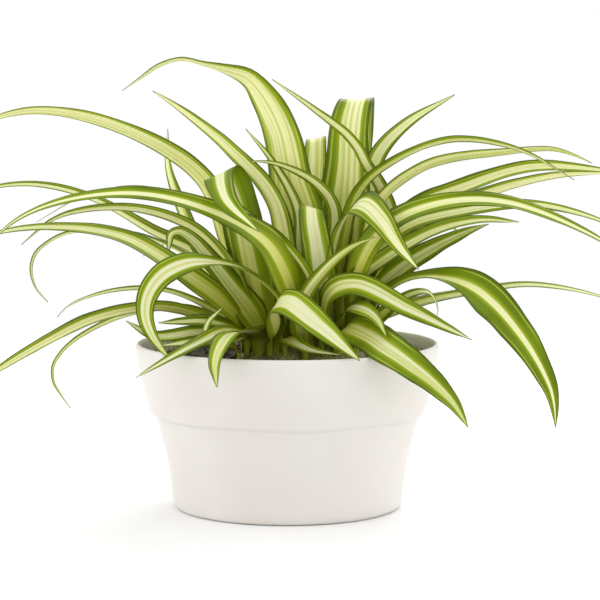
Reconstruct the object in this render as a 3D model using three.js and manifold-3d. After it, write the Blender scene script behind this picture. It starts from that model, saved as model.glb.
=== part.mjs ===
// A spider plant growing in its round white pot.
// Millimetres, +Z up. The origin is the centre of the pot's flat underside,
// and the side the plant shows best faces -Y, with +X to its right.

import * as THREE from 'three';
import { mergeVertices } from 'three/addons/utils/BufferGeometryUtils.js';
import Module from 'manifold-3d';

const wasm = await Module();
wasm.setup();

// ---- Driving dimensions ---------------------------------------------------

const POT_HEIGHT = 87;
const RIM_RADIUS = 80;
const BASE_RADIUS = 60.5;
const COLLAR_FOOT = 50; // height at which the plain collar ends in a small step
const COLLAR_STEP = 1.2; // how far the collar stands proud of the wall below it
const WALL = 2.8;
const FLOOR = 4;
const GAP = 0.3; // clearance between pieces that touch
const HEADSPACE = 9; // from the soil up to the rim
const ROUND_SIDES = 48;

const CROWN_HEIGHT = 5.5;
const CROWN_RADIUS = 17;
const CROWN_CENTRES = [[-9, -2], [25, 0], [6, 28]];

const BLADE_THICKNESS = 0.6; // at the midrib, thinning to nothing at the margins
const BLADE_STEPS = 18;
const TIP_WIDTH = 0.5;
const TIP_SHARE = 0.6; // how much of the thickness is gone at the tip
const BASE_SHARE = 0.34; // width of a leaf's foot as a share of its full width
const SHEATH_HEIGHT = 6; // a leaf stands straight up for this far above the crown
const FOLD_AT_FOOT = 46; // degrees that each half of the blade rises from flat
const FOLD_AT_TIP = 8;
const FOLD_EASE = 0.4; // how soon the fold opens on the way to the tip
const FOLD_YIELD = 3; // how much a sharp bend flattens the fold
const PEAK = 0.35;
const TAPER = 2.6;
const TAPER_ROUND = 0.9;
const TWIST_AT = 0.42;
const TWIST_LENGTH = 0.26;

// The leaves are laid out as they look from the front. "Across" and "up" are read
// in the upright plane through the pot's axis, from this far away and this high,
// and "back" says how far behind that plane the point lies.
const VIEW_DISTANCE = 1200;
const VIEW_TILT = THREE.MathUtils.degToRad(5.6);
const VIEW_HEIGHT = 109;
const VIEW_ACROSS = 6.6;

const SOIL_TOP = POT_HEIGHT - HEADSPACE;
const CROWN_TOP = SOIL_TOP + GAP + CROWN_HEIGHT;

// ---- Leaves ---------------------------------------------------------------
// foot: [across, back] on the crown. path: [across, back, up] from there to the tip.
// turn is how far, in degrees, the blade is turned about its own length from the
// way it would lie if it arched straight out. twist is the further turn it takes from
// twistAt on. A leaf is at its full width at peak, and a low taper narrows it sooner.
// peak and twistAt are shares of the leaf's length.

const LEAVES = {
  // upright leaves in the middle
  upright_leaf_1: { foot: [6, 12], width: 29, peak: 0.46, taper: 1.65, turn: 85, twist: -68, twistAt: 0.53,
    path: [[6, 14, 150], [1, 14, 172], [-4, 18, 197], [-11, 20, 212],
      [-21, 22, 225], [-39, 26, 231], [-60, 28, 235], [-87, 32, 219]] },
  upright_leaf_2: { foot: [25.5, 15], width: 28, taper: 2.2, turn: -4,
    path: [[28.5, 24, 130], [32, 29, 180], [33, 34, 201],
      [36, 46, 214], [39, 74, 206], [42, 110, 170]] },
  upright_leaf_3: { foot: [8, 20], width: 16, turn: -4,
    path: [[13, 30, 150], [15, 38, 185], [15, 46, 194], [17, 72, 184], [20, 96, 160]] },
  upright_leaf_4: { foot: [-3, 3], width: 13, turn: 70,
    path: [[-6, 2, 158], [-30, 6, 188], [-57, 12, 210], [-71, 16, 219]] },
  upright_leaf_5: { foot: [1, 7], width: 9, turn: 70,
    path: [[6, 8, 140], [5, 9, 157], [-8, 9, 182], [-22, 10, 199]] },
  upright_leaf_6: { foot: [-18, 10], width: 14, turn: 80,
    path: [[-43, 34, 128], [-57, 40, 160], [-63, 42, 180], [-63, 46, 199]] },
  upright_leaf_7: { foot: [28.5, 8.5], width: 11, turn: 60,
    path: [[48, 17, 131], [54, 22, 150], [49, 20, 168], [42, 14, 179],
      [34, 11, 193], [13, 12, 210], [-8, 14, 225]] },
  upright_leaf_8: { foot: [20, 10], width: 10, turn: 60,
    path: [[23, 12, 130], [24, 10, 158], [14, 6, 171], [-7, 2, 181], [-20, 1, 182]] },
  upright_leaf_9: { foot: [31, 19], width: 14, turn: 60,
    path: [[41, 32, 150], [47, 36, 184], [63, 38, 202], [88, 40, 217]] },

  // folded leaves that droop toward the front
  folded_leaf_1: { foot: [-12, 0], width: 26, peak: 0.62, taper: 3,
    path: [[-24, 2, 150], [-29, 0, 167], [-34, -8, 176],
      [-35, -22, 171], [-31, -37, 160], [-15, -46, 145]] },
  folded_leaf_2: { foot: [23, -6], width: 21, peak: 0.6, taper: 3, turn: -22,
    path: [[19, -11, 112], [15, -14, 138], [13, -14.5, 150], [12.5, -10, 157],
      [12.5, -3, 157], [12.5, 2, 150], [12.5, 4, 140]] },
  folded_leaf_3: { foot: [17, 0.5], width: 24, peak: 0.6, turn: 35,
    path: [[22.8, -3, 124], [27.8, -5, 146], [35, -11, 158], [41, -21, 159],
      [50, -34, 150], [58, -44, 138], [69, -53, 125]] },

  // leaves that arch out to the left
  left_leaf_1: { foot: [-12, 9], width: 20, taper: 1.4, turn: 50,
    path: [[-30, 22, 138], [-43, 27, 170], [-54, 29, 181], [-80, 31, 196],
      [-112, 34, 206.5], [-140, 36, 208], [-172, 40, 198]] },
  left_leaf_2: { foot: [-14, 14], width: 13, peak: 0.3, taper: 1.8, turn: 30,
    path: [[-45, 44, 132], [-69, 46, 144], [-104, 48, 163], [-136, 50, 170], [-178, 54, 164]] },
  left_leaf_3: { foot: [-2, -8], width: 19, peak: 0.22, taper: 1.4, turn: -30,
    path: [[3, -22, 108], [-2, -25, 125], [-13, -25, 141], [-46, -24, 158],
      [-81, -20, 165], [-118, -14, 161], [-141, -12, 152], [-163, -10, 134]] },
  left_leaf_4: { foot: [-6, 8], width: 8, turn: -15,
    path: [[-14, 12, 128], [-45, 14, 156], [-76, 12, 168], [-108, 12, 163], [-132, 12, 150]] },
  left_leaf_5: { foot: [-17, 0], width: 12, taper: 1.8, turn: 40,
    path: [[-31, 4, 125], [-49, 8, 146], [-81, 10, 157], [-120, 10, 153], [-140, 12, 138]] },
  left_leaf_6: { foot: [-20, -3.5], width: 15, turn: -12,
    path: [[-34, -20, 107], [-55, -26, 123], [-87, -19, 142], [-133, -4, 147], [-172, 0, 140]] },
  left_leaf_7: { foot: [-21, 1], width: 8, turn: 20,
    path: [[-45, 18, 126], [-75, 24, 142], [-100, 28, 145], [-119, 30, 143],
      [-134, 32, 131], [-133, 34, 117], [-126, 36, 108]] },
  left_leaf_8: { foot: [-23, 6], width: 5, turn: 30,
    path: [[-38, 24, 103], [-64, 30, 114], [-92, 34, 114], [-115, 38, 106], [-121, 38, 100]] },
  left_leaf_9: { foot: [-24, -1], width: 13, peak: 0.7, taper: 4, turn: 20,
    path: [[-45, 10, 100], [-67, 12, 105], [-99, 10, 100],
      [-127, 8, 87], [-151, 6, 73], [-168, 4, 62]] },
  left_leaf_10: { foot: [-24, 3], width: 6, turn: 20,
    path: [[-50, 22, 104], [-85, 26, 101], [-113, 28, 87],
      [-123, 30, 75], [-123, 30, 66], [-114, 32, 52]] },
  left_leaf_11: { foot: [-12, -2], width: 17, turn: -50,
    path: [[-17, -5, 98], [-29, -5, 114], [-42, -6, 131],
      [-52, -8, 142], [-60, -10, 145], [-63, -12, 133]] },
  left_leaf_12: { foot: [6, -5], width: 10, turn: 30,
    path: [[12, -22, 118], [-4, -18, 141], [-16, -15, 151], [-30, -15, 163]] },
  left_leaf_13: { foot: [-24, -4], width: 10, peak: 0.6, taper: 4, turn: -35,
    path: [[-45, -9, 92], [-70, -11, 90], [-85, -13, 98]] },
  left_leaf_14: { foot: [-22, -9], width: 13, peak: 0.5, turn: -28,
    path: [[-40, -15, 97], [-68, -20, 97]] },
  left_leaf_15: { foot: [-26, -13], width: 12, peak: 0.5, turn: -26,
    path: [[-42, -31, 87], [-66, -42, 85]] },

  // leaves at the front
  front_leaf_1: { foot: [-7, -13.5], width: 18, peak: 0.65, taper: 3, turn: -20, twist: -45, twistAt: 0.42,
    path: [[-4, -25, 107], [-17, -31, 121], [-30, -35, 127], [-53, -44, 128],
      [-69, -50, 119], [-75, -55, 104], [-71, -60, 90], [-61, -66, 77]] },
  front_leaf_2: { foot: [-18, -12.5], width: 12, peak: 0.5,
    path: [[-31, -34, 93], [-45, -52, 87], [-57, -66, 81], [-80, -78, 68]] },
  front_leaf_3: { foot: [-14, -15], width: 21, peak: 0.65, taper: 3, turn: 15,
    path: [[-21, -44, 92], [-33, -76, 88], [-38, -86, 76], [-37, -90, 63]] },
  front_leaf_4: { foot: [-21.3, -13.3], width: 9, peak: 0.7, taper: 4,
    path: [[-28, -26, 87], [-37, -34, 86], [-43, -37, 90], [-42, -38, 97], [-34, -38, 105]] },
  front_leaf_5: { foot: [-8, -15], width: 20, peak: 0.6, taper: 3, turn: 38,
    path: [[-5, -28, 94], [-7, -39, 105], [0, -49, 108],
      [11, -57, 100], [22, -66, 91], [38, -80, 77]] },
  front_leaf_6: { foot: [18.5, -14], width: 15, peak: 0.5, turn: 42,
    path: [[20, -24, 106], [24, -29, 114], [36, -33, 117], [64, -40, 104], [97, -46, 88]] },
  front_leaf_7: { foot: [28, -14], width: 22, peak: 0.55, taper: 3,
    path: [[31, -31, 94], [42, -48, 90], [51, -65, 84], [63, -75, 76],
      [76, -79, 66], [87, -79, 55], [95, -77, 42]] },
  front_leaf_8: { foot: [25, -12], width: 13, peak: 0.7, turn: 40,
    path: [[32, -27, 104], [40, -42, 104], [47, -54, 99], [52, -64, 90]] },
  front_leaf_9: { foot: [-1, -14], width: 10,
    path: [[4, -30, 86], [14, -48, 82], [28, -60, 80]] },

  // leaves that arch out to the right
  right_leaf_1: { foot: [23, 5], width: 12, taper: 1.8, turn: -40,
    path: [[29, 8, 130], [37, 7.5, 164], [50, 5, 178], [85, 8, 193], [122, 12, 188], [151, 16, 172]] },
  right_leaf_2: { foot: [35, 7], width: 11, turn: -40,
    path: [[42, 8, 140], [50, 11, 162], [75, 18, 180],
      [117, 26, 187], [142, 28, 188], [160, 30, 181]] },
  right_leaf_3: { foot: [34, 13], width: 15, turn: -50,
    path: [[53, 29, 139], [67, 34, 157], [92, 38, 168], [128, 42, 179], [180, 50, 176]] },
  right_leaf_4: { foot: [38, 7], width: 13, turn: -45,
    path: [[60, 10, 140], [95, 14, 161], [138, 20, 174], [172, 24, 176]] },
  right_leaf_5: { foot: [36, 16], width: 7,
    path: [[60, 44, 140], [89, 54, 160], [114, 60, 178]] },
  right_leaf_6: { foot: [33, -10], width: 14, turn: 35,
    path: [[38, -21, 125], [53, -24, 148], [82, -25, 160],
      [117, -22, 160], [164, -18, 141], [182, -16, 128]] },
  right_leaf_7: { foot: [33, -2], width: 12, turn: 35,
    path: [[46, 0, 130], [60, 0, 146], [95, 2, 156], [130, 6, 159], [164, 8, 151], [184, 10, 141]] },
  right_leaf_8: { foot: [30, -6], width: 19, peak: 0.5, taper: 3, turn: -40,
    path: [[34, -11, 116], [47, -13, 127], [77, -13, 145], [100, -12, 151], [122, -10, 150]] },
  right_leaf_9: { foot: [38, 0], width: 20, peak: 0.5, taper: 3, turn: 30,
    path: [[45, 1, 110], [60, 3, 125], [77, 6, 136], [95, 9, 145], [106, 10, 149]] },
  right_leaf_10: { foot: [10, -12], width: 11, turn: -40,
    path: [[8, -28, 107], [21, -31, 126], [34, -33, 137], [46, -36, 142]] },
  right_leaf_11: { foot: [37, -7], width: 24, peak: 0.62, taper: 3, turn: -5, twist: 75, twistAt: 0.32,
    path: [[46, -16, 105], [58, -18, 117], [73, -18, 121], [98, -15, 115],
      [122, -12, 91], [139, -12, 60], [141, -12, 42]] },
  right_leaf_12: { foot: [37, 11], width: 8, turn: 40,
    path: [[65, 24, 106], [97, 28, 113], [128, 30, 117], [164, 32, 111], [180, 34, 104]] },
  right_leaf_13: { foot: [39.5, 3.5], width: 8, turn: 30,
    path: [[50, 4, 101], [63, 8, 111], [74, 12, 113], [79, 14, 104], [77, 15, 96]] },

  // leaves that arch out behind
  back_leaf_1: { foot: [-4, 32], width: 17,
    path: [[-17, 60, 126], [-27, 105, 142], [-30, 150, 126], [-30, 175, 104]] },
  back_leaf_2: { foot: [6, 36], width: 19,
    path: [[8, 62, 134], [12, 108, 146], [14, 155, 124], [15, 180, 92]] },
  back_leaf_3: { foot: [16, 32], width: 17,
    path: [[30, 58, 124], [44, 100, 134], [50, 140, 124], [52, 162, 112]] },
  back_leaf_4: { foot: [-6, 24], width: 16,
    path: [[-30, 51, 120], [-50, 78, 134], [-64, 100, 138], [-76, 120, 132]] },
  back_leaf_5: { foot: [18, 24], width: 16,
    path: [[42, 46, 120], [64, 74, 140], [82, 98, 148], [94, 114, 142]] },
  back_leaf_6: { foot: [0, 26], width: 17,
    path: [[4, 40, 130], [6, 54, 160], [7, 76, 168], [7, 104, 148]] },
  back_leaf_7: { foot: [11, 26], width: 17,
    path: [[20, 36, 125], [26, 54, 150], [30, 84, 158], [34, 118, 138]] },
  back_leaf_8: { foot: [2, 38], width: 12,
    path: [[-20, 62, 100], [-30, 92, 98], [-36, 118, 80]] },
};

// ---- Materials ------------------------------------------------------------

const potMaterial = () => new THREE.MeshStandardMaterial({ color: 0xece8e1, roughness: 0.5 });
const soilMaterial = () => new THREE.MeshStandardMaterial({ color: 0x33241a, roughness: 0.95 });
const crownMaterial = () => new THREE.MeshStandardMaterial({ color: 0xb9b47c, roughness: 0.7 });
const leafMaterial = () => new THREE.MeshStandardMaterial({ color: 0x86a830, roughness: 0.45 });

const plant = new THREE.Group();

function addPiece(name, geometry, material) {
  const piece = new THREE.Mesh(geometry, material);
  piece.name = name;
  plant.add(piece);
}

// A solid of revolution about +Z from [radius, height] pairs.
function turned(profile) {
  const points = profile.map(([radius, height]) => new THREE.Vector2(radius, height));
  return new THREE.LatheGeometry(points, ROUND_SIDES).rotateX(Math.PI / 2);
}

// ---- Pot ------------------------------------------------------------------
// The wall flares from the base, swells into the collar's small step and carries on
// to the rounded rim. [share of the way from base to rim radius, height]

const OUTER_WALL = [[0, 4], [0.04, 14], [0.15, 24], [0.26, 34], [0.33, 40], [0.44, 46]];
const COLLAR_WALL = [[0.58, 50], [0.71, 57], [0.85, 67], [0.97, 80]];
const RIM_ROUND = 1.4;

const radiusAt = (share) => BASE_RADIUS + share * (RIM_RADIUS - BASE_RADIUS);

function outerProfile() {
  const wall = OUTER_WALL.map(([share, height]) => [radiusAt(share), height]);
  const collar = COLLAR_WALL.map(([share, height]) => [radiusAt(share), height]);
  const underStep = [radiusAt(COLLAR_WALL[0][0]) - COLLAR_STEP, COLLAR_FOOT - 0.6];
  return [...wall, underStep, ...collar];
}

function innerProfile() {
  const wall = outerProfile().map(([radius, height]) => [radius - WALL, height + 0.8]);
  return wall.filter(([, height]) => height > FLOOR + 6);
}

function buildPot() {
  const foot = [[0, 0], [BASE_RADIUS - 3, 0], [BASE_RADIUS - 1, 1]];
  const rim = [
    [RIM_RADIUS, POT_HEIGHT - RIM_ROUND],
    [RIM_RADIUS - 0.5, POT_HEIGHT - 0.4],
    [RIM_RADIUS - RIM_ROUND, POT_HEIGHT],
    [RIM_RADIUS - WALL + 0.5, POT_HEIGHT - 0.4],
  ];
  const inside = innerProfile().reverse();
  const hollow = [[BASE_RADIUS - WALL - 1, FLOOR + 2], [BASE_RADIUS - WALL - 4, FLOOR], [0, FLOOR]];
  addPiece('pot', turned([...foot, ...outerProfile(), ...rim, ...inside, ...hollow]), potMaterial());
}

// ---- Soil -----------------------------------------------------------------

function buildSoil() {
  const below = [[0, FLOOR + GAP], [BASE_RADIUS - WALL - 4 - GAP, FLOOR + GAP]];
  const side = innerProfile().map(([radius, height]) => [radius - 2 * GAP, height]);
  const buried = side.filter(([, height]) => height < SOIL_TOP - 3);
  const edge = [[buried.at(-1)[0] + 1.5, SOIL_TOP - 1.5], [56, SOIL_TOP]];
  addPiece('potting_soil', turned([...below, ...buried, ...edge, [0, SOIL_TOP]]), soilMaterial());
}

// ---- Rootstock ------------------------------------------------------------
// Three short crowns that have grown together, resting in the top of the soil.

function toSolid(geometry) {
  geometry.deleteAttribute('normal');
  geometry.deleteAttribute('uv');
  const closed = mergeVertices(geometry);
  const mesh = new wasm.Mesh({
    numProp: 3,
    vertProperties: new Float32Array(closed.getAttribute('position').array),
    triVerts: new Uint32Array(closed.index.array),
  });
  return new wasm.Manifold(mesh);
}

function toGeometry(solid) {
  const mesh = solid.getMesh();
  const geometry = new THREE.BufferGeometry();
  geometry.setAttribute('position', new THREE.BufferAttribute(mesh.vertProperties, 3));
  geometry.setIndex(new THREE.BufferAttribute(mesh.triVerts, 1));
  return geometry;
}

function buildRootstock() {
  const foot = SOIL_TOP + GAP;
  const profile = [[0, foot], [CROWN_RADIUS, foot], [CROWN_RADIUS, CROWN_TOP - 1],
    [CROWN_RADIUS - 0.5, CROWN_TOP], [0, CROWN_TOP]];
  const crowns = CROWN_CENTRES.map(([x, y]) => toSolid(turned(profile).translate(x, y, 0)));
  const joined = crowns.reduce((whole, crown) => whole.add(crown));
  addPiece('rootstock', toGeometry(joined), crownMaterial());
}

// ---- A leaf ---------------------------------------------------------------

// The point that looks to be at this across and up from the front.
function placeSeen([across, back, up]) {
  const rise = up - VIEW_HEIGHT;
  const away = (VIEW_DISTANCE + back / Math.cos(VIEW_TILT))
    / (1 + (rise * Math.tan(VIEW_TILT)) / VIEW_DISTANCE);
  const scale = away / VIEW_DISTANCE;
  const x = VIEW_ACROSS + (across - VIEW_ACROSS) * scale;
  const z = VIEW_HEIGHT + (rise * scale - back * Math.sin(VIEW_TILT)) / Math.cos(VIEW_TILT);
  return new THREE.Vector3(x, back, z);
}

const overCrown = (x, y) => CROWN_CENTRES.some(([cx, cy]) => Math.hypot(x - cx, y - cy) < CROWN_RADIUS);

function leafPath([x, y], landmarks) {
  const ground = overCrown(x, y) ? CROWN_TOP : SOIL_TOP;
  const foot = new THREE.Vector3(x, y, ground + GAP);
  const sheath = new THREE.Vector3(x, y, ground + SHEATH_HEIGHT);
  return new THREE.CatmullRomCurve3([foot, sheath, ...landmarks.map(placeSeen)]);
}

// Width from foot to tip, as a share of the leaf's full width.
function widthShare(along, peak, taper) {
  const swell = BASE_SHARE + (1 - BASE_SHARE) * THREE.MathUtils.smoothstep(along, 0, peak);
  return swell * (1 - along ** taper) ** TAPER_ROUND;
}

// The direction along the leaf and the direction across it at each step, carried
// along the path without spinning, then turned and twisted.
function directions(path, turn, twist, twistAt) {
  const up = new THREE.Vector3(0, 0, 1);
  const out = path.getPoint(1).sub(path.getPoint(0)).setZ(0).normalize();
  const across = up.clone().cross(out);
  let tangent = up;
  const pairs = [];
  for (let step = 0; step <= BLADE_STEPS; step += 1) {
    const along = step / BLADE_STEPS;
    const next = step === 0 ? up : path.getTangentAt(along);
    across.applyQuaternion(new THREE.Quaternion().setFromUnitVectors(tangent, next));
    tangent = next;
    const twisted = twist * THREE.MathUtils.smoothstep(along, twistAt, twistAt + TWIST_LENGTH);
    const angle = THREE.MathUtils.degToRad(turn + twisted);
    pairs.push([tangent, across.clone().applyAxisAngle(tangent, angle)]);
  }
  return pairs;
}

// Radians by which each half of the blade rises: a channel at the foot, nearly flat at
// the tip, and flatter where the leaf bends sharply.
function foldAt(along, half, bend) {
  const open = THREE.MathUtils.lerp(FOLD_AT_FOOT, FOLD_AT_TIP, along ** FOLD_EASE);
  return THREE.MathUtils.degToRad(open) / (1 + FOLD_YIELD * (half * bend) ** 2);
}

// Four corners at each step: a margin, the channel, the other margin and the keel.
function bladeGeometry(path, leaf) {
  const { width, peak = PEAK, taper = TAPER, turn = 0, twist = 0, twistAt = TWIST_AT } = leaf;
  const places = [];
  const pairs = directions(path, turn, twist, twistAt);
  const stepLength = path.getLength() / BLADE_STEPS;
  pairs.forEach(([tangent, across], step) => {
    const along = step / BLADE_STEPS;
    const middle = path.getPointAt(along);
    const upper = tangent.clone().cross(across);
    const half = Math.max(width * widthShare(along, peak, taper), TIP_WIDTH) / 2;
    const before = pairs[Math.max(step - 1, 0)][0];
    const after = pairs[Math.min(step + 1, BLADE_STEPS)][0];
    const fold = foldAt(along, half, before.angleTo(after) / (2 * stepLength));
    const thick = (BLADE_THICKNESS / 2) * (1 - TIP_SHARE * along);
    const corner = (side, lift) => middle.clone()
      .addScaledVector(across, side).addScaledVector(upper, lift);
    const margin = half * Math.cos(fold);
    const raise = half * Math.sin(fold);
    places.push(corner(-margin, raise), corner(0, thick), corner(margin, raise), corner(0, -thick));
  });
  const faces = [0, 1, 3, 1, 2, 3];
  for (let step = 0; step < BLADE_STEPS; step += 1) {
    for (let side = 0; side < 4; side += 1) {
      const a = step * 4 + side;
      const b = step * 4 + ((side + 1) % 4);
      // Both skins of a half are split the same way, so they can't cross in a twist.
      if (side % 2 === 0) faces.push(a, a + 4, b, b, a + 4, b + 4);
      else faces.push(a, a + 4, b + 4, a, b + 4, b);
    }
  }
  const last = BLADE_STEPS * 4;
  faces.push(last, last + 3, last + 1, last + 1, last + 3, last + 2);
  const geometry = new THREE.BufferGeometry().setFromPoints(places);
  geometry.setIndex(faces);
  return geometry;
}

function buildLeaves() {
  for (const [name, leaf] of Object.entries(LEAVES)) {
    addPiece(name, bladeGeometry(leafPath(leaf.foot, leaf.path), leaf), leafMaterial());
  }
}

// ---- Assembly -------------------------------------------------------------

buildPot();
buildSoil();
buildRootstock();
buildLeaves();

export default plant;
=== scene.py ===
# A spider plant growing in its round white pot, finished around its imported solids.
# Metres, +Z up. The origin is the centre of the pot's flat underside, and the side
# the plant shows best faces -Y.

import math
import random

import bmesh
import bpy
from mathutils import Matrix, Vector, noise


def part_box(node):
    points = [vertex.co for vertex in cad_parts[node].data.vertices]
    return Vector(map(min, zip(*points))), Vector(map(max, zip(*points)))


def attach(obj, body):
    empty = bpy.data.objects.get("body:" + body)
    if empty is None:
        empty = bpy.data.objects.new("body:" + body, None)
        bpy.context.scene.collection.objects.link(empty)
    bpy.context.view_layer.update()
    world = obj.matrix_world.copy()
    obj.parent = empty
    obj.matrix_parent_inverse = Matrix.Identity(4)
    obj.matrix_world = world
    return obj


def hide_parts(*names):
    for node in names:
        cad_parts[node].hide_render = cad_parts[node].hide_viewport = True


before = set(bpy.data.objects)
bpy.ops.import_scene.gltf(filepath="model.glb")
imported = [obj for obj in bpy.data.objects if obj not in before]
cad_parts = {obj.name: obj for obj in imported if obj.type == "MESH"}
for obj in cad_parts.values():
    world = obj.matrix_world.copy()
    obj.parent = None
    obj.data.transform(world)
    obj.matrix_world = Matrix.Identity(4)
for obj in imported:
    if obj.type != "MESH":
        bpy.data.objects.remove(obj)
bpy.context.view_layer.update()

# ---- Camera ----------------------------------------------------------------
# A long lens looks a little down at the plant, from about the height of its tallest
# leaves, and takes in the pot and nearly all of the leaves.

MM = 0.001
VIEW_CENTRE = Vector((6.6, 0, 109)) * MM
VIEW_DISTANCE = 1200 * MM
VIEW_TILT = math.radians(5.6)
VIEW_WIDTH = 315.6 * MM  # what the picture spans at the pot's axis
SENSOR = 36.0

lens = bpy.data.cameras.new("camera")
lens.sensor_width = SENSOR
lens.lens = SENSOR * VIEW_DISTANCE / VIEW_WIDTH
camera = bpy.data.objects.new("camera", lens)
to_camera = Vector((0, -math.cos(VIEW_TILT), math.sin(VIEW_TILT)))
camera.location = VIEW_CENTRE + VIEW_DISTANCE * to_camera
camera.rotation_euler = (math.pi / 2 - VIEW_TILT, 0, 0)
bpy.context.collection.objects.link(camera)
bpy.context.scene.camera = camera

# ---- Floor and light -------------------------------------------------------
# The plant stands on a plain pale floor in a white room. Soft light comes from all round,
# more from both sides and from above in front, and also from a lamp behind and above.


class Signal:
    """An output of a shader node. A finish is written as sums of these."""

    def __init__(self, finish, owner, socket):
        self.finish = finish
        self.owner = owner
        self.socket = socket

    def __getitem__(self, name):
        return Signal(self.finish, self.owner, self.owner.outputs[name])

    def math(self, operation, *others):
        return self.finish.sum(operation, self, *others)

    def __add__(self, other):
        return self.math("ADD", other)

    def __sub__(self, other):
        return self.math("SUBTRACT", other)

    def __rsub__(self, other):
        return self.finish.sum("SUBTRACT", other, self)

    def __mul__(self, other):
        return self.math("MULTIPLY", other)

    __radd__ = __add__
    __rmul__ = __mul__

    def ramp(self, low, high):
        """0 up to low, 1 from high on, and a soft step between."""
        settings = {"interpolation_type": "SMOOTHSTEP"}
        sockets = {"Value": self, "From Min": low, "From Max": high}
        return self.finish.node("ShaderNodeMapRange", settings, sockets)

    def blend(self, first, second):
        """The first colour where this is 0 and the second where it is 1."""
        sockets = {0: self, 6: first, 7: second}  # the ones for colours have no names of their own
        return self.finish.node("ShaderNodeMix", {"data_type": "RGBA"}, sockets)[2]


class Nodes:
    """A node tree, emptied and then filled by its node() method."""

    def __init__(self, tree):
        self.tree = tree
        self.tree.nodes.clear()

    def node(self, kind, settings=None, sockets=None):
        made = self.tree.nodes.new(kind)
        for name, value in (settings or {}).items():
            setattr(made, name, value)
        for name, value in (sockets or {}).items():
            if isinstance(value, Signal):
                self.tree.links.new(value.socket, made.inputs[name])
            elif isinstance(value, tuple) and made.inputs[name].type == "RGBA":
                made.inputs[name].default_value = (*value, 1.0)
            else:
                made.inputs[name].default_value = value
        return Signal(self, made, made.outputs[0] if made.outputs else None)

    def sum(self, operation, *values):
        return self.node("ShaderNodeMath", {"operation": operation}, dict(enumerate(values)))


class Finish(Nodes):
    """One material."""

    def __init__(self, name):
        self.material = bpy.data.materials.new(name)
        self.material.use_nodes = True
        super().__init__(self.material.node_tree)

    def place(self):
        """Where a point of the piece is, in metres."""
        return self.node("ShaderNodeTexCoord")["Object"]

    def grain(self, vector, scale, detail=2.0):
        sockets = {"Vector": vector, "Scale": scale, "Detail": detail}
        return self.node("ShaderNodeTexNoise", {}, sockets)

    def bump(self, height, distance):
        sockets = {"Height": height, "Distance": distance, "Strength": 1.0}
        return self.node("ShaderNodeBump", {}, sockets)

    def surface(self, **sockets):
        named = {name.replace("_", " "): value for name, value in sockets.items()}
        shader = self.node("ShaderNodeBsdfPrincipled", {"subsurface_method": "BURLEY"}, named)
        self.node("ShaderNodeOutputMaterial", {}, {"Surface": shader})
        return self.material


def add_piece(name, shape, materials):
    """A bmesh becomes a smooth object at the origin."""
    mesh = bpy.data.meshes.new(name)
    shape.to_mesh(mesh)
    shape.free()
    mesh.shade_smooth()
    for material in materials:
        mesh.materials.append(material)
    piece = bpy.data.objects.new(name, mesh)
    bpy.context.collection.objects.link(piece)
    return piece


FLOOR_RADIUS = 0.8

floor_finish = Finish("floor_paint").surface(Base_Color=(0.93, 0.93, 0.93), Roughness=0.9)
shape = bmesh.new()
bmesh.ops.create_circle(shape, cap_ends=True, segments=64, radius=FLOOR_RADIUS)
floor = add_piece("floor", shape, [floor_finish])

ROOM_STRENGTH = 0.72  # what the white room gives the plant from all round
SIDE_STRENGTH = 1.25  # what it gives on top of that from the left and the right
FRONT_STRENGTH = 0.22  # and from above in front, on the left
FRONT_AIM = (-0.26, -0.67, 0.70)
SEEN_STRENGTH = 1.0  # how bright the room looks behind the plant
LAMP_PLACE = Vector((0.3, 1.1, 1.1))
LAMP_AIM = Vector((0, 0, 0.15))
LAMP_WATTS = 10

world = bpy.data.worlds.new("white_room")
world.use_nodes = True
room = Nodes(world.node_tree)
toward = room.node("ShaderNodeTexCoord")["Generated"]
sideways = room.node("ShaderNodeSeparateXYZ", {}, {"Vector": toward})["X"]
aimed = room.node("ShaderNodeVectorMath", {"operation": "DOT_PRODUCT"}, {0: toward, 1: FRONT_AIM})
frontal = aimed["Value"].math("MAXIMUM", 0.0).math("POWER", 2.0)
given = sideways * sideways * SIDE_STRENGTH + frontal * FRONT_STRENGTH + ROOM_STRENGTH
seen = room.node("ShaderNodeLightPath")["Is Camera Ray"]
strength = seen * SEEN_STRENGTH + (1 - seen) * given
glow = room.node("ShaderNodeBackground", {}, {"Color": (1.0, 1.0, 1.0), "Strength": strength})
room.node("ShaderNodeOutputWorld", {}, {"Surface": glow})
bpy.context.scene.world = world
bpy.context.scene.view_settings.view_transform = "Standard"

lamp = bpy.data.lights.new("back_light", "AREA")
lamp.shape = "DISK"
lamp.size = 1.0
lamp.energy = LAMP_WATTS
light = bpy.data.objects.new("back_light", lamp)
light.location = LAMP_PLACE
light.rotation_euler = (LAMP_AIM - LAMP_PLACE).to_track_quat("-Z", "Y").to_euler()
bpy.context.collection.objects.link(light)

# ---- Pot -------------------------------------------------------------------
# The pot is one moulded shell of white plastic with a satin skin. Its wall flares up to
# a plain collar that stands a little proud of the wall below, and ends in a round rim.

RIM_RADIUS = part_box("pot")[1].x
POT_SIDES = 96
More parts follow.
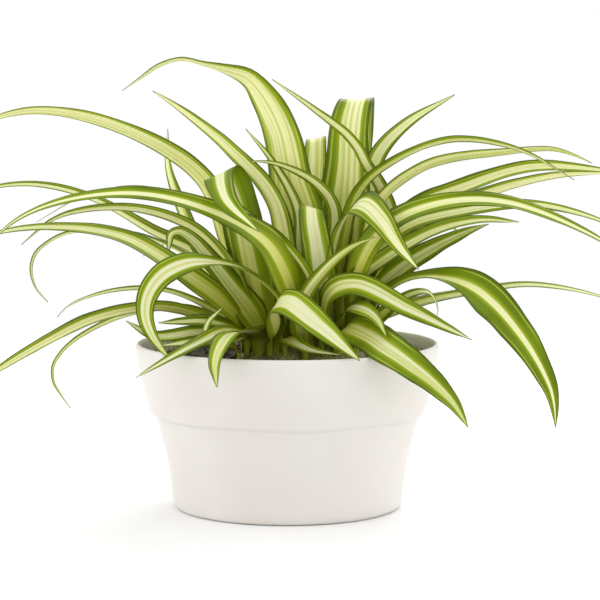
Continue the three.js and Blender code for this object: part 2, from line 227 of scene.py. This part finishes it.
# (radius, height) in millimetres, up the outside and then down the inside
POT_OUTSIDE = [(0, 0), (30, 0), (54, 0), (58.2, 0), (60, 0.9), (60.7, 3), (61.1, 9), (62, 17),
               (63.6, 26), (65.6, 34), (67.2, 41), (68.8, 46), (69.6, 48.6), (70.1, 49.7),
               (71.7, 50.0), (72.6, 51.2), (74.3, 57), (77, 66.5), (78.7, 75), (79.6, 82.5)]
POT_INSIDE = [(76.6, 82.5), (75.4, 74), (73.4, 64), (70.8, 55), (66.4, 47), (63.5, 38),
              (60.9, 28), (59, 18), (57.7, 10), (55.5, 5.4), (50, 4), (25, 4), (0, 4)]
STEP_HEIGHT = 50 * MM
STEP_WAVE = 1.0 * MM  # how far the step under the collar wanders up and down
DUST_LINE = 79.5 * MM  # a little above the soil
PLASTIC = (0.69, 0.655, 0.61)
PLASTIC_LIGHT = (0.73, 0.70, 0.66)
PLASTIC_WORN = (0.55, 0.52, 0.47)
PEAT_DUST = (0.13, 0.085, 0.05)


def spun(outline, sides):
    """A closed solid turned about the pot's axis from (radius, height) pairs in metres."""
    shape = bmesh.new()
    points = [shape.verts.new((radius, 0, height)) for radius, height in outline]
    for first, second in zip(points, points[1:]):
        shape.edges.new((first, second))
    bmesh.ops.spin(shape, geom=shape.verts[:] + shape.edges[:], angle=math.tau, steps=sides,
                   axis=(0, 0, 1), use_merge=True)
    bmesh.ops.remove_doubles(shape, verts=shape.verts, dist=0.01 * MM)
    bmesh.ops.recalc_face_normals(shape, faces=shape.faces)
    return shape


def pot_outline():
    top = [(RIM_RADIUS / MM - 0.05, 85.2), (RIM_RADIUS / MM - 0.5, 86.4), (78.6, 87),
           (77.6, 86.6), (77.1, 85.4)]
    return [(radius * MM, height * MM) for radius, height in POT_OUTSIDE + top + POT_INSIDE]


shape = spun(pot_outline(), POT_SIDES)
for point in shape.verts:
    near_step = math.exp(-((point.co.z - STEP_HEIGHT) / (6 * MM)) ** 2)
    around = Vector((point.co.x, point.co.y, 0)) * 22
    point.co.z += STEP_WAVE * near_step * noise.noise(around)
for face in shape.faces:
    middle = face.calc_center_median()
    looks_in = face.normal.dot(Vector((middle.x, middle.y, 0))) < 0
    face.material_index = 1 if looks_in and middle.z > 5 * MM else 0


def plastic_finish(name, dust):
    """White plastic; dust is how much peat clings to it a little above the soil."""
    skin = Finish(name)
    spot = skin.place()
    cloudy = skin.grain(spot, 18.0, 3.0)
    fine = skin.grain(spot, 1500.0)
    speck = skin.grain(spot, 420.0, 4.0)
    height = skin.node("ShaderNodeSeparateXYZ", {}, {"Vector": spot})["Z"]
    white = cloudy.ramp(0.3, 0.7).blend(PLASTIC, PLASTIC_LIGHT)
    low = 1 - (height + cloudy * (4 * MM)).ramp(DUST_LINE, DUST_LINE + 5 * MM)
    clinging = low * speck.ramp(0.42, 0.62) * dust
    worn = skin.grain(spot, 9.0, 5.0).ramp(0.62, 0.80) * 0.12
    aged = worn.blend(white, PLASTIC_WORN)
    return skin.surface(
        Base_Color=clinging.blend(aged, PEAT_DUST),
        Roughness=cloudy * 0.14 + 0.34 + clinging * 0.4,
        Normal=skin.bump(fine + speck * clinging * 6, 0.00002),
        Subsurface_Weight=0.12,
        Subsurface_Radius=(1.0, 0.9, 0.8),
        Subsurface_Scale=0.002,
    )


outside_finish = plastic_finish("pot_plastic", 0.0)
inside_finish = plastic_finish("pot_lining", 0.8)
pot = add_piece("pot_shell", shape, [outside_finish, inside_finish])
smooth = pot.modifiers.new("smooth", "SUBSURF")
smooth.levels = 1
smooth.render_levels = 1
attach(pot, "root")
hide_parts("pot")

# ---- Potting soil ----------------------------------------------------------
# Dark, crumbly peat with small chips of bark has been pressed down round the plant. Its
# lumpy surface lies a finger's width below the rim, and the roots are out of sight in it.

SOIL_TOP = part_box("potting_soil")[1].z
SOIL_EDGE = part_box("potting_soil")[1].x
SOIL_SIDES = 120
SOIL_RINGS = 44
SOIL_DEPTH = 9 * MM  # only the top of the soil is ever seen
CRUMBS = 900
CRUMB_SIZE = 1.3 * MM
CHIPS = 90
CHIP_SIZE = 3.2 * MM
PEAT_DARK = (0.018, 0.011, 0.007)
PEAT_LIGHT = (0.085, 0.05, 0.03)
BARK_DARK = (0.07, 0.028, 0.016)
BARK_LIGHT = (0.23, 0.11, 0.06)
draw = random.Random(7)


def soil_height(x, y):
    """The soil's surface: low lumps with finer ones on them."""
    lumps = noise.noise(Vector((x, y, 0)) * 60) * 1.1 + noise.noise(Vector((x, y, 3)) * 220) * 0.5
    return SOIL_TOP + (lumps - 0.9) * MM


underside = SOIL_TOP - SOIL_DEPTH
side = [(SOIL_EDGE * 0.97, underside), (SOIL_EDGE * 0.99, SOIL_TOP - 4 * MM)]
surface = [(SOIL_EDGE * (1 - ring / SOIL_RINGS), SOIL_TOP) for ring in range(SOIL_RINGS + 1)]
shape = spun([(0, underside), *side, *surface], SOIL_SIDES)
for point in shape.verts:
    if point.co.z > SOIL_TOP - 1 * MM:
        point.co.z = soil_height(point.co.x, point.co.y)


def scatter(shape, count, size, detail, flatness, finish_number):
    """Small rough lumps lie half sunk in the soil."""
    for _ in range(count):
        reach = (SOIL_EDGE - 3 * MM) * math.sqrt(draw.random())
        angle = draw.uniform(0, math.tau)
        x, y = reach * math.cos(angle), reach * math.sin(angle)
        long = draw.uniform(0.5, 1.0) * size
        lump = bmesh.ops.create_icosphere(shape, subdivisions=detail, radius=long)["verts"]
        for point in lump:
            point.co *= 1 + 0.35 * noise.noise(point.co * 700 + Vector((x, y, 0)) * 3000)
        heading = Matrix.Rotation(draw.uniform(0, math.tau), 4, "Z")
        leaning = Matrix.Rotation(draw.uniform(-0.5, 0.5), 4, "X")
        squash = Matrix.Diagonal((1.0, draw.uniform(0.5, 0.9), flatness, 1.0))
        there = Matrix.Translation((x, y, soil_height(x, y) + 0.2 * long * flatness))
        bmesh.ops.transform(shape, matrix=there @ heading @ leaning @ squash, verts=lump)
        for face in {face for point in lump for face in point.link_faces}:
            face.material_index = finish_number


scatter(shape, CRUMBS, CRUMB_SIZE, detail=1, flatness=0.8, finish_number=0)
scatter(shape, CHIPS, CHIP_SIZE, detail=2, flatness=0.35, finish_number=1)

peat = Finish("peat")
spot = peat.place()
speckle = peat.grain(spot, 900.0, 4.0)
damp = peat.grain(spot, 60.0)
peat_finish = peat.surface(
    Base_Color=speckle.ramp(0.35, 0.7).blend(PEAT_DARK, PEAT_LIGHT),
    Roughness=damp * 0.3 + 0.7,
    Normal=peat.bump(speckle, 0.0006),
)
bark = Finish("bark_chip")
spot = bark.place()
fibre = bark.grain(spot, 700.0, 4.0)
bark_finish = bark.surface(
    Base_Color=fibre.ramp(0.35, 0.7).blend(BARK_DARK, BARK_LIGHT),
    Roughness=0.8,
    Normal=bark.bump(fibre, 0.0004),
)
soil = add_piece("soil_mix", shape, [peat_finish, bark_finish])
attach(soil, "root")
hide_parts("potting_soil")

# ---- Rootstock -------------------------------------------------------------
# Three short pale crowns have grown together in the top of the soil, ringed by the scars
# of old leaves. Every leaf rises from them.

CROWN_LOW, CROWN_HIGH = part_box("rootstock")
CROWN_CENTRES = [(-9, -2), (25, 0), (6, 28)]  # millimetres
CROWN_RADIUS = 17 * MM
CROWN_EDGE = SOIL_TOP - 2.5 * MM  # the crowns' crust dips under the soil here
CROWN_RISE = CROWN_HIGH.z + 0.8 * MM - CROWN_EDGE
CROWN_UNDERSIDE = SOIL_TOP - 5 * MM
SCAR_SPACING = 2.6 * MM
SCAR_DEPTH = 0.5 * MM
ROUGHNESS_OF_CRUST = 0.4 * MM
CROWN_DARK = (0.17, 0.19, 0.035)
CROWN_LIGHT = (0.42, 0.42, 0.16)
CROWN_STAIN = (0.10, 0.06, 0.03)

crown = Finish("crown_fibre")
spot = crown.place()
strand = crown.node("ShaderNodeMapping", {}, {"Vector": spot, "Scale": (1.0, 1.0, 0.25)})
fibre = crown.grain(strand, 900.0, 4.0)
stain = crown.grain(spot, 90.0, 3.0)
pale_fibre = fibre.ramp(0.35, 0.65).blend(CROWN_DARK, CROWN_LIGHT)
crown_finish = crown.surface(
    Base_Color=(stain.ramp(0.45, 0.7) * 0.7).blend(pale_fibre, CROWN_STAIN),
    Roughness=fibre * 0.2 + 0.55,
    Normal=crown.bump(fibre, 0.0005),
)


def crown_height(x, y):
    """The crowns as low round mounds, stepped where leaves have come away."""
    rise = 0.0
    for centre_x, centre_y in CROWN_CENTRES:
        away = math.hypot(x - centre_x * MM, y - centre_y * MM)
        edge = CROWN_RADIUS * (1 + 0.10 * noise.noise(Vector((x, y, centre_x * MM)) * 90))
        mound = max(0.0, 1 - (away / edge) ** 4) ** 0.5
        scar = SCAR_DEPTH * math.sin(away / SCAR_SPACING * math.tau)
        rise = max(rise, mound * (CROWN_RISE + scar * noise.noise(Vector((x, y, 1)) * 150)))
    return CROWN_EDGE + rise + ROUGHNESS_OF_CRUST * noise.noise(Vector((x, y, 2)) * 400)


shape = bmesh.new()
bmesh.ops.create_grid(shape, x_segments=96, y_segments=80, size=0.5)
middle = (CROWN_LOW + CROWN_HIGH) / 2
spread = CROWN_HIGH - CROWN_LOW
stretch = Matrix.Diagonal((spread.x, spread.y, 1.0, 1.0))
there = Matrix.Translation((middle.x, middle.y, 0))
bmesh.ops.transform(shape, matrix=there @ stretch, verts=shape.verts)
made = bmesh.ops.extrude_face_region(shape, geom=shape.faces[:], use_keep_orig=True)
crust = {item for item in made["geom"] if isinstance(item, bmesh.types.BMVert)}
for point in shape.verts:
    point.co.z = crown_height(point.co.x, point.co.y) if point in crust else CROWN_UNDERSIDE
bmesh.ops.recalc_face_normals(shape, faces=shape.faces)
rootstock = add_piece("crown", shape, [crown_finish])
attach(rootstock, "root")
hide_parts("rootstock")

# ---- Leaves ----------------------------------------------------------------
# Each leaf is a long channelled blade, green along both margins and cream down the
# middle, that rises from the crown and arches over under its own weight.

BLADE_COLUMNS = 12
BLADE_ROWS_PER_STEP = 4
RIB_THICKNESS = 0.75 * MM
MARGIN_THICKNESS = 0.22 * MM
CHANNEL_POWER = 1.35  # 1 is a sharp V across the blade; 2 is a round trough
FOLD_OPEN = 0.72  # how far the halves stand up, as a share of the solid's
FOOT_SWELL = 0.75  # how much broader the lower part of a leaf is than the solid's
SWELL_MIDDLE = 0.20  # as shares of the leaf's length
SWELL_REACH = 0.16
FOOT_DEPTH = 3 * MM  # how deep the foot sits in the crown
FOOT_GAP = 0.3 * MM  # how far above the crown or the soil a leaf's solid starts
FULL_HALF_WIDTH = 10 * MM
RIPPLE = 0.10  # how far a margin waves up and down, as a share of half the width
UNEVENNESS = 0.08  # how far it wanders in and out
# The third trait says how far a leaf's cream is painted greyer for the light that falls on it.
BLADE_TRAITS = ("leaf_seed", "pale_share", "painted_light_share", "width_share")


def leaf_rings(name):
    """The four corners of a leaf's solid at each step from its foot to its tip.

    The foot's ring is flat, just above the crown or the soil. From there each next ring
    is the points that share an edge with the one before and haven't been met yet.
    """
    shape = bmesh.new()
    shape.from_mesh(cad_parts[name].data)
    bmesh.ops.remove_doubles(shape, verts=shape.verts, dist=0.005 * MM)
    levels = [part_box(node)[1].z + FOOT_GAP for node in ("rootstock", "potting_soil")]
    for level in levels:
        ring = [point for point in shape.verts if abs(point.co.z - level) < 0.01 * MM]
        if len(ring) == 4:
            break
    seen = set(ring)
    rings = []
    while ring:
        rings.append([point.co.copy() for point in ring])
        linked = {edge.other_vert(point) for point in ring for edge in point.link_edges}
        ring = sorted(linked - seen, key=lambda point: point.index)
        seen.update(ring)
    shape.free()
    return rings


def leaf_stations(rings):
    """At each ring: its middle, half its width, its margins' rise, across and up.

    A ring's two margins are its corners that lie furthest apart. The other two are the
    bottom of the channel and the keel under it.
    """
    stations = []
    across = upper = None
    for ring in rings:
        pairs = [(a, b) for a in ring for b in ring if a is not b]
        one, other = max(pairs, key=lambda pair: (pair[0] - pair[1]).length)
        channel, keel = [corner for corner in ring if corner is not one and corner is not other]
        centre = (channel + keel) / 2
        margins = (one + other) / 2
        raised = margins - centre
        if upper is None:
            upper = raised.normalized()
            across = upper.cross(Vector((0, 0, 1)))
        wide = (other - one) / 2
        if wide.dot(across) < 0:
            wide = -wide
        across = wide.normalized()
        if raised.length > 0.02 * MM:
            upper = raised.normalized()
        half = math.hypot(wide.length, raised.length)
        rise = FOLD_OPEN * math.atan2(raised.length, wide.length)
        stations.append((centre, half * math.cos(rise), half * math.sin(rise), across, upper))
    foot = (stations[0][0] - Vector((0, 0, FOOT_DEPTH)), *stations[0][1:])
    return [foot, *stations]


def eased(stations, part):
    """The station at this part of the way, on a smooth spline through all of them."""
    whole = len(stations) - 1
    step = min(int(part * whole), whole - 1)
    t = part * whole - step
    four = [stations[min(max(step + offset, 0), whole)] for offset in (-1, 0, 1, 2)]
    weights = (
        -0.5 * t + t * t - 0.5 * t ** 3,
        1 - 2.5 * t * t + 1.5 * t ** 3,
        0.5 * t + 2 * t * t - 1.5 * t ** 3,
        -0.5 * t * t + 0.5 * t ** 3,
    )
    values = []
    for field in range(5):
        total = four[0][field] * weights[0]
        for station, weight in zip(four[1:], weights[1:]):
            total = total + station[field] * weight
        values.append(total)
    return values


# white is how far the leaf's cream is painted greyer for the light on its group.
def blade_shape(name, seed, pale, white):
    """A closed blade: a grid that is bent to its place, and then given a second skin."""
    stations = leaf_stations(leaf_rings(name))
    rows = (len(stations) - 1) * BLADE_ROWS_PER_STEP
    shape = bmesh.new()
    blade_map = shape.loops.layers.uv.new("blade")
    layers = [shape.verts.layers.float.new(key) for key in BLADE_TRAITS]
    bmesh.ops.create_grid(shape, x_segments=BLADE_COLUMNS, y_segments=rows, size=1.0)
    for face in shape.faces:
        for loop in face.loops:
            loop[blade_map].uv = ((loop.vert.co.x + 1) / 2, (loop.vert.co.y + 1) / 2)
    places = {}
    for point in shape.verts:
        side, part = point.co.x, (point.co.y + 1) / 2
        centre, wide, raised, across, upper = eased(stations, part)
        swell = FOOT_SWELL * math.exp(-((part - SWELL_MIDDLE) / SWELL_REACH) ** 2)
        wander = UNEVENNESS * noise.noise(Vector((part * 11, side * 3, seed + 5)))
        edge = wide * (1 + swell) * (1 + wander)
        ripple = RIPPLE * wide * abs(side) ** 3 * noise.noise(Vector((part * 9, side, seed)))
        lift = raised * abs(side) ** CHANNEL_POWER + ripple
        rib = (RIB_THICKNESS - MARGIN_THICKNESS) * (1 - abs(side) ** 1.5) * (1 - 0.75 * part)
        thick = MARGIN_THICKNESS * (1 - 0.5 * part) + rib
        up = upper.normalized()
        spot = centre + across.normalized() * (side * edge) + up * lift
        places[point] = (spot, up * thick)
        for layer, value in zip(layers, (seed, pale, white, wide / FULL_HALF_WIDTH)):
            point[layer] = value
    under = shape.faces[:]
    made = bmesh.ops.extrude_face_region(shape, geom=under, use_keep_orig=True)
    partner = {}
    for item in made["geom"]:
        if isinstance(item, bmesh.types.BMVert):
            partner[(round(item.co.x, 6), round(item.co.y, 6))] = item
    for point, (spot, thick) in places.items():
        mate = partner[(round(point.co.x, 6), round(point.co.y, 6))]
        mate.co = spot + thick / 2
        point.co = spot - thick / 2
    bmesh.ops.recalc_face_normals(shape, faces=shape.faces)
    if shape.calc_volume(signed=True) < 0:
        bmesh.ops.reverse_faces(shape, faces=shape.faces)
    for face in under:
        face.material_index = 1
    return shape


GREEN = (0.165, 0.25, 0.002)
CREAM = (0.87, 0.89, 0.48)
UNDER_GREEN = (0.18, 0.265, 0.003)
UNDER_CREAM = (0.86, 0.86, 0.41)
PAINTED_LIGHT_CREAM = (0.71, 0.72, 0.46)  # painted light: the greyer, less yellow cream of the leaves that face the light
LIME = (0.33, 0.42, 0.008)  # where the green meets the cream
# painted highlight: a pale line where light catches the crease near each margin
PAINTED_CREASE_HIGHLIGHT = (0.55, 0.62, 0.08)
PAINTED_SHADE_YELLOW = (0.72, 0.71, 0.10)  # painted shade: the darker, yellower cream of a leaf's lower half, deep in the clump
VEIN_GREEN = (0.44, 0.50, 0.03)
HAIR_YELLOW = (0.62, 0.62, 0.12)
PAINTED_SHADE_OLIVE = (0.33, 0.37, 0.012)  # painted shade: the olive of the foot, deep in the clump
DRY_TIP = (0.20, 0.17, 0.09)
# painted shade: a thin dark line along the outer edge of each margin
PAINTED_EDGE_SHADE = (0.06, 0.095, 0.003)
DARKEST = 0.36  # the outer margins' green, as a share of the rest of the green
TOP_DULLNESS = 0.34
UNDER_DULLNESS = 0.46


def blade_finish(name, green, cream, dull):
    """Green margins and a cream middle, with veins that run along the blade."""
    leaf = Finish(name)
    blade_map = leaf.node("ShaderNodeUVMap", {"uv_map": "blade"})
    spread = leaf.node("ShaderNodeSeparateXYZ", {}, {"Vector": blade_map})
    across, along = spread["X"], spread["Y"]
    seed, share, painted_light, breadth = [
        leaf.node("ShaderNodeAttribute", {"attribute_name": key})["Fac"] for key in BLADE_TRAITS
    ]

    def streaks(position, count, drift, offset):
        """Streaks that run along the blade, about this many for each whole of position."""
        sockets = {"X": position * count, "Y": along * drift, "Z": seed * 7.3 + offset}
        return leaf.grain(leaf.node("ShaderNodeCombineXYZ", {}, sockets), 1.0, 0.5)

    side = (across - 0.5).math("ABSOLUTE") * 2
    veins = (across - 0.5) * breadth  # an even spacing, so fewer run on into the tip
    lines = streaks(veins, 13, 0.5, 5.0).ramp(0.52, 0.60)
    hair = streaks(veins, 20, 1.5, 9.0)

    # The green margins, darker outwards and in patches, lime where they meet the cream, with a
    # painted highlight along a crease near the edge
    band = side + (streaks(across, 4, 0.9, 0.0) - 0.5) * 0.42 - share
    darkest = tuple(DARKEST * channel for channel in green)
    patch = leaf.grain(leaf.place(), 32.0, 3.0).ramp(0.35, 0.65)
    margin = (side.ramp(0.70, 1.0) * 0.55 + patch * 0.40).blend(green, darkest)
    limed = ((1 - band.ramp(0.0, 0.30)) * 0.8).blend(margin, LIME)
    wander = streaks(across, 1, 3.0, 17.0)
    # Painted highlight: a pale line along the crease near each margin, where light catches it.
    crease_highlight = 1 - (side + wander * 0.2 - 0.90).math("ABSOLUTE").ramp(0.015, 0.06)
    highlighted = (crease_highlight * wander.ramp(0.40, 0.55) * 0.6).blend(limed, PAINTED_CREASE_HIGHLIGHT)

    # The cream middle, with painted shade that makes it darker and yellower towards the foot,
    # green veins and yellow hairlines
    # Painted light: the cream turns greyer on the leaves that face the light, by each leaf's
    # group.
    cream_by_light = painted_light.blend(cream, PAINTED_LIGHT_CREAM)
    # Painted shade: the cream darkens and yellows towards the foot, deep in the clump.
    shaded_yellow = ((1 - along.ramp(0.15, 0.62)) * 0.8).blend(cream_by_light, PAINTED_SHADE_YELLOW)
    veined = (lines * 0.55).blend(shaded_yellow, VEIN_GREEN)
    middle = (hair.ramp(0.48, 0.68) * 0.26).blend(veined, HAIR_YELLOW)

    striped = (1 - band.ramp(-0.05, 0.04)).blend(highlighted, middle)
    # Painted shade: the foot of each leaf is turned olive, for the shade deep in the clump.
    shaded_foot = ((1 - along.ramp(0.04, 0.46)) * 0.80).blend(striped, PAINTED_SHADE_OLIVE)
    aged = along.ramp(0.975, 1.0).blend(shaded_foot, DRY_TIP)
    # Painted shade: a dark line along the outer edge of each margin.
    return leaf.surface(
        Base_Color=(side.ramp(0.93, 1.0) * 0.6).blend(aged, PAINTED_EDGE_SHADE),
        Roughness=hair * 0.14 + dull,
        Normal=leaf.bump(streaks(veins, 14, 1.0, 11.0), 0.00022),
        Specular_IOR_Level=0.15,
    )


# How much of a leaf's breadth is cream, and how far its cream is painted greyer for the light on
# the leaf's group
PALE_SHARE = 0.42
PALE_VARIATION = 0.06
BROAD_PALE = {
    "upright_leaf_1": 0.62, "upright_leaf_2": 0.50, "upright_leaf_3": 0.66, "upright_leaf_4": 0.58,
    "upright_leaf_7": 0.50, "left_leaf_1": 0.66, "left_leaf_3": 0.34, "left_leaf_9": 0.50,
    "right_leaf_2": 0.66, "right_leaf_3": 0.62, "right_leaf_4": 0.58, "right_leaf_6": 0.34,
    "front_leaf_5": 0.42, "front_leaf_7": 0.36, "right_leaf_11": 0.28, "folded_leaf_1": 0.36,
}
# Painted light: the front leaves get nearly all of the lit cream, and the back ones hardly any.
PAINTED_LIGHT_BY_GROUP = {"front": 0.9, "folded": 0.6, "upright": 0.25, "left": 0.3, "right": 0.35, "back": 0.1}
SEED_STEP = 0.71  # keeps the patterns of two leaves apart

blade_top = blade_finish("blade_top", GREEN, CREAM, TOP_DULLNESS)
blade_under = blade_finish("blade_under", UNDER_GREEN, UNDER_CREAM, UNDER_DULLNESS)

leaf_names = sorted(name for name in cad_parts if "_leaf_" in name)
for number, name in enumerate(leaf_names):
    pale = BROAD_PALE.get(name, PALE_SHARE) + draw.uniform(-PALE_VARIATION, PALE_VARIATION)
    # Painted light: this leaf's share of the lit cream, by its group.
    white = PAINTED_LIGHT_BY_GROUP[name.split("_")[0]]
    shape = blade_shape(name, number * SEED_STEP, pale, white)
    leaf = add_piece(name.replace("_leaf_", "_blade_"), shape, [blade_top, blade_under])
    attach(leaf, "root")
    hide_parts(name)
